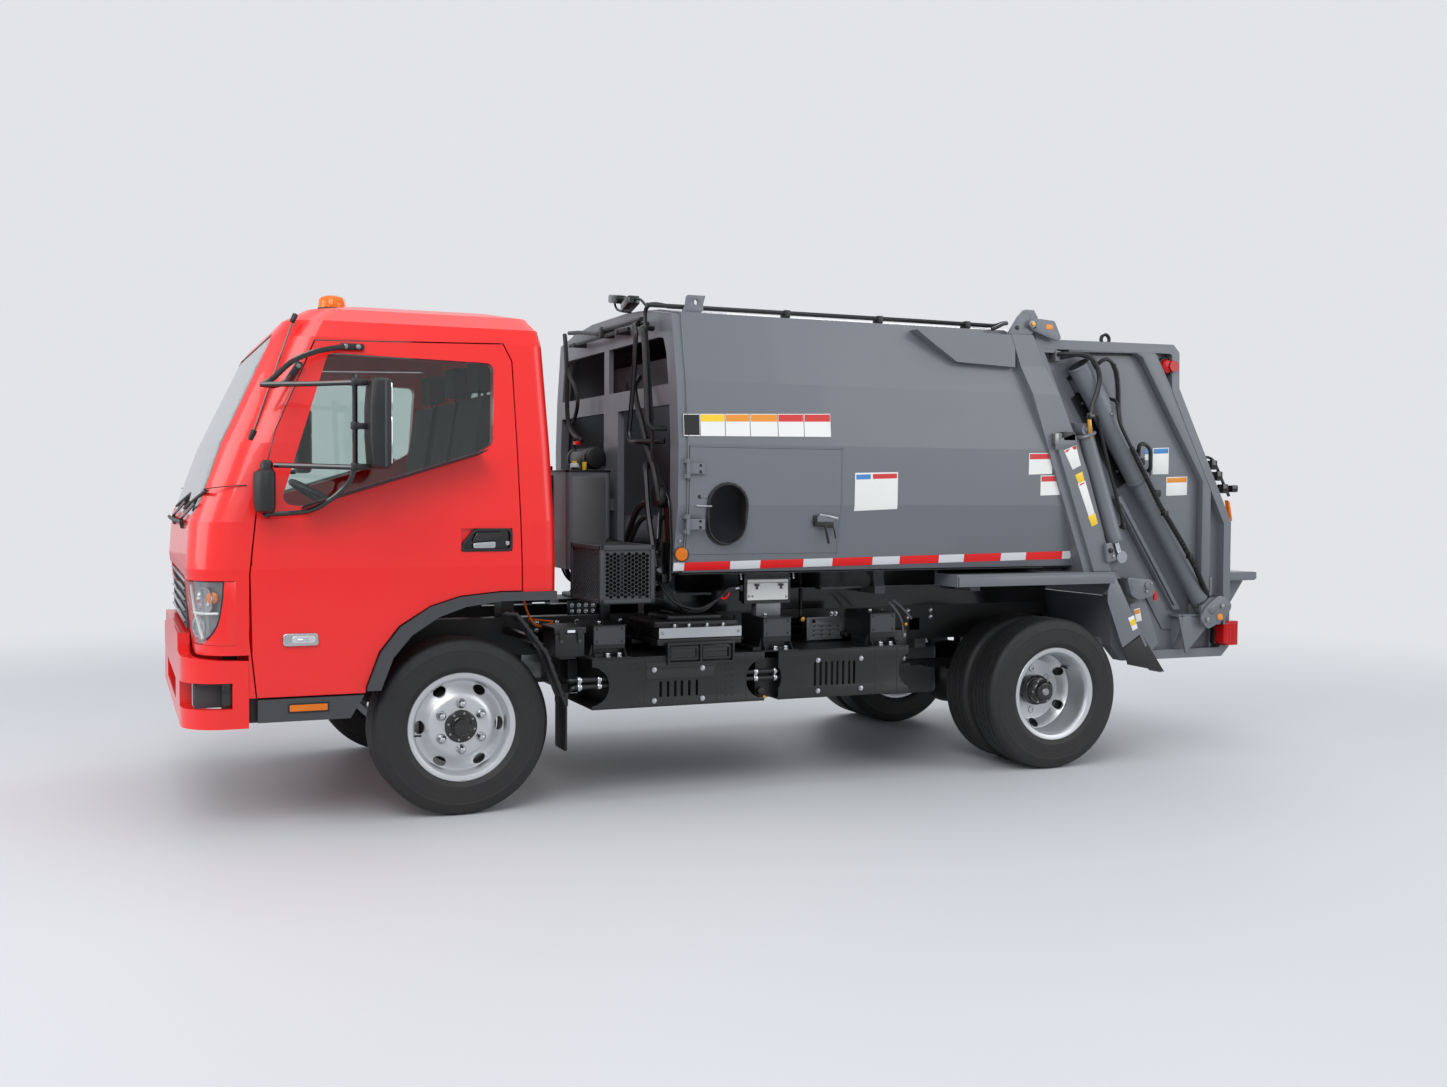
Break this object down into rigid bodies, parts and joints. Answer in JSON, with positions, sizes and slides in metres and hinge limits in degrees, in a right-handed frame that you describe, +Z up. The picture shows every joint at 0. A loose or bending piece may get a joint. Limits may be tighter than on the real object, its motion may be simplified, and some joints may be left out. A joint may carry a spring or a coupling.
{
  "type": "rear-loading refuse truck",
  "caption": "Light cab-over refuse truck with a red tilting cab, dark grey load body, sweeping packer tailgate and ejector panel.",
  "frame": {"origin": "centre of the footprint on the ground", "axes": "+X forward, +Y to the driver's side, +Z up"},
  "size_m": [5.571, 2.58, 2.375],
  "materials": {
    "frame_black": "satin",
    "spring_steel": "satin",
    "motor_grey": "satin",
    "wheel_silver": "satin",
    "tyre_black": "matt",
    "black_plastic": "matt",
    "dark_plastic": "matt",
    "cab_red": "gloss",
    "window_glass": "clear",
    "lamp_clear": "clear",
    "amber_lens": "gloss",
    "red_lens": "gloss",
    "seat_cloth": "matt",
    "body_grey": "satin",
    "chrome_rod": "polished"
  },
  "bodies": {
    "chassis": {"chassis_frame": "frame_black", "leaf_springs": "spring_steel", "front_axle": "frame_black", "rear_axle": "frame_black", "drive_motor": "motor_grey", "battery_packs": "frame_black", "side_boxes": "frame_black", "frame_fittings": "black_plastic", "body_shell": "body_grey", "body_frames": "body_grey", "hydraulic_tank": "body_grey", "body_fittings": "body_grey", "ejector_barrel": "body_grey"},
    "cab": {"cab_shell": "cab_red", "cab_glass": "window_glass", "bumper": "cab_red", "cab_trim": "dark_plastic", "headlamps": "lamp_clear", "marker_lamps": "amber_lens", "dashboard": "dark_plastic", "seats": "seat_cloth"},
    "door_left": {"door_left": "cab_red", "glass_left": "window_glass", "mirror_left": "black_plastic", "side_lamp_left": "lamp_clear"},
    "door_right": {"door_right": "cab_red", "glass_right": "window_glass", "mirror_right": "black_plastic", "side_lamp_right": "lamp_clear"},
    "knuckle_left": {"knuckle_left": "spring_steel"},
    "knuckle_right": {"knuckle_right": "spring_steel"},
    "tie_rod": {"tie_rod": "frame_black"},
    "wheel_front_left": {"front_rim_left": "wheel_silver", "front_tyre_left": "tyre_black"},
    "wheel_front_right": {"front_rim_right": "wheel_silver", "front_tyre_right": "tyre_black"},
    "wheel_rear_left": {"rear_rims_left": "wheel_silver", "rear_tyres_left": "tyre_black"},
    "wheel_rear_right": {"rear_rims_right": "wheel_silver", "rear_tyres_right": "tyre_black"},
    "side_door": {"side_door": "body_grey"},
    "ejector_stage_one": {"ejector_stage_one": "chrome_rod"},
    "ejector_stage_two": {"ejector_stage_two": "chrome_rod"},
    "ejector": {"ejector_panel": "body_grey"},
    "tailgate": {"tailgate": "body_grey", "tail_lamps": "red_lens", "packer_barrels": "body_grey"},
    "carriage": {"packer_carriage": "body_grey", "packer_rods": "chrome_rod"},
    "blade": {"packer_blade": "body_grey"},
    "blade_barrels": {"blade_barrels": "body_grey"},
    "blade_rods": {"blade_rods": "chrome_rod"},
    "lift_barrels": {"lift_barrels": "body_grey"},
    "lift_rods": {"lift_rods": "chrome_rod"}
  },
  "joints": [
    {"name": "steer_left", "type": "hinge", "parent": "chassis", "child": "knuckle_left", "pos_m": [1.66, 0.64, 0.3835], "axis": [0, 0, 1], "range_deg": [-30, 30]},
    {"name": "steer_right", "type": "hinge", "parent": "chassis", "child": "knuckle_right", "pos_m": [1.66, -0.64, 0.3835], "axis": [0, 0, 1], "range_deg": [-30, 30]},
    {"name": "tie_rod_slide", "type": "slide", "parent": "chassis", "child": "tie_rod", "axis": [0, 1, 0], "range_m": [-0.1, 0.1]},
    {"name": "wheel_front_left_roll", "type": "hinge", "parent": "knuckle_left", "child": "wheel_front_left", "pos_m": [1.66, 0.828, 0.3835], "axis": [0, 1, 0], "continuous": true},
    {"name": "wheel_front_right_roll", "type": "hinge", "parent": "knuckle_right", "child": "wheel_front_right", "pos_m": [1.66, -0.828, 0.3835], "axis": [0, 1, 0], "continuous": true},
    {"name": "wheel_rear_left_roll", "type": "hinge", "parent": "chassis", "child": "wheel_rear_left", "pos_m": [-1.36, 0.7865, 0.3835], "axis": [0, 1, 0], "continuous": true},
    {"name": "wheel_rear_right_roll", "type": "hinge", "parent": "chassis", "child": "wheel_rear_right", "pos_m": [-1.36, -0.7865, 0.3835], "axis": [0, 1, 0], "continuous": true},
    {"name": "cab_tilt", "type": "hinge", "parent": "chassis", "child": "cab", "pos_m": [2.64, 0, 0.52], "axis": [0, 1, 0], "range_deg": [0, 45]},
    {"name": "door_left_swing", "type": "hinge", "parent": "cab", "child": "door_left", "pos_m": [2.545, 0.965, 0.92], "axis": [0, 0, -1], "range_deg": [0, 65]},
    {"name": "door_right_swing", "type": "hinge", "parent": "cab", "child": "door_right", "pos_m": [2.545, -0.965, 0.92], "axis": [0, 0, 1], "range_deg": [0, 65]},
    {"name": "side_door_swing", "type": "hinge", "parent": "chassis", "child": "side_door", "pos_m": [0.644, 0.982, 1.36], "axis": [0, 0, -1], "range_deg": [0, 110]},
    {"name": "ejector_slide", "type": "slide", "parent": "chassis", "child": "ejector", "axis": [-1, 0, 0], "range_m": [0, 1.44]},
    {"name": "ejector_one_slide", "type": "slide", "parent": "chassis", "child": "ejector_stage_one", "axis": [-1, 0, 0], "range_m": [0, 0.48]},
    {"name": "ejector_two_slide", "type": "slide", "parent": "chassis", "child": "ejector_stage_two", "axis": [-1, 0, 0], "range_m": [0, 0.96]},
    {"name": "tailgate_lift", "type": "hinge", "parent": "chassis", "child": "tailgate", "pos_m": [-1.225, 0, 2.25], "axis": [0, 1, 0], "range_deg": [0, 60]},
    {"name": "packer_slide", "type": "slide", "parent": "tailgate", "child": "carriage", "axis": [-0.5539, 0, -0.8326], "range_m": [0, 0.5]},
    {"name": "blade_sweep", "type": "hinge", "parent": "carriage", "child": "blade", "pos_m": [-1.85, 0, 1.42], "axis": [0, 1, 0], "range_deg": [0, 80]},
    {"name": "blade_barrel_tilt", "type": "hinge", "parent": "carriage", "child": "blade_barrels", "pos_m": [-1.63688, 0, 1.90278], "axis": [0, 1, 0], "range_deg": [-10, 30]},
    {"name": "blade_rod_slide", "type": "slide", "parent": "blade_barrels", "child": "blade_rods", "axis": [-0.5368, 0, -0.8437], "range_m": [-0.2, 0.02]},
    {"name": "lift_barrel_tilt", "type": "hinge", "parent": "tailgate", "child": "lift_barrels", "pos_m": [-1.537, 0, 1.727], "axis": [0, 1, 0], "range_deg": [-90, 1]},
    {"name": "lift_rod_slide", "type": "slide", "parent": "lift_barrels", "child": "lift_rods", "axis": [-0.3386, 0, -0.9409], "range_m": [-0.01, 0.55]}
  ],
  "couplings": [
    {"joint": "steer_right", "follows": "steer_left", "ratio": 1},
    {"joint": "tie_rod_slide", "follows": "steer_left", "m_per_rad": -0.174},
    {"joint": "ejector_one_slide", "follows": "ejector_slide", "ratio": 0.33333},
    {"joint": "ejector_two_slide", "follows": "ejector_slide", "ratio": 0.66667},
    {"joint": "blade_barrel_tilt", "follows": "blade_sweep", "ratio": 0.054999},
    {"joint": "blade_rod_slide", "follows": "blade_sweep", "m_per_rad": -0.1157},
    {"joint": "lift_barrel_tilt", "follows": "tailgate_lift", "ratio": -1.3798},
    {"joint": "lift_rod_slide", "follows": "tailgate_lift", "m_per_rad": 0.47013}
  ]
}
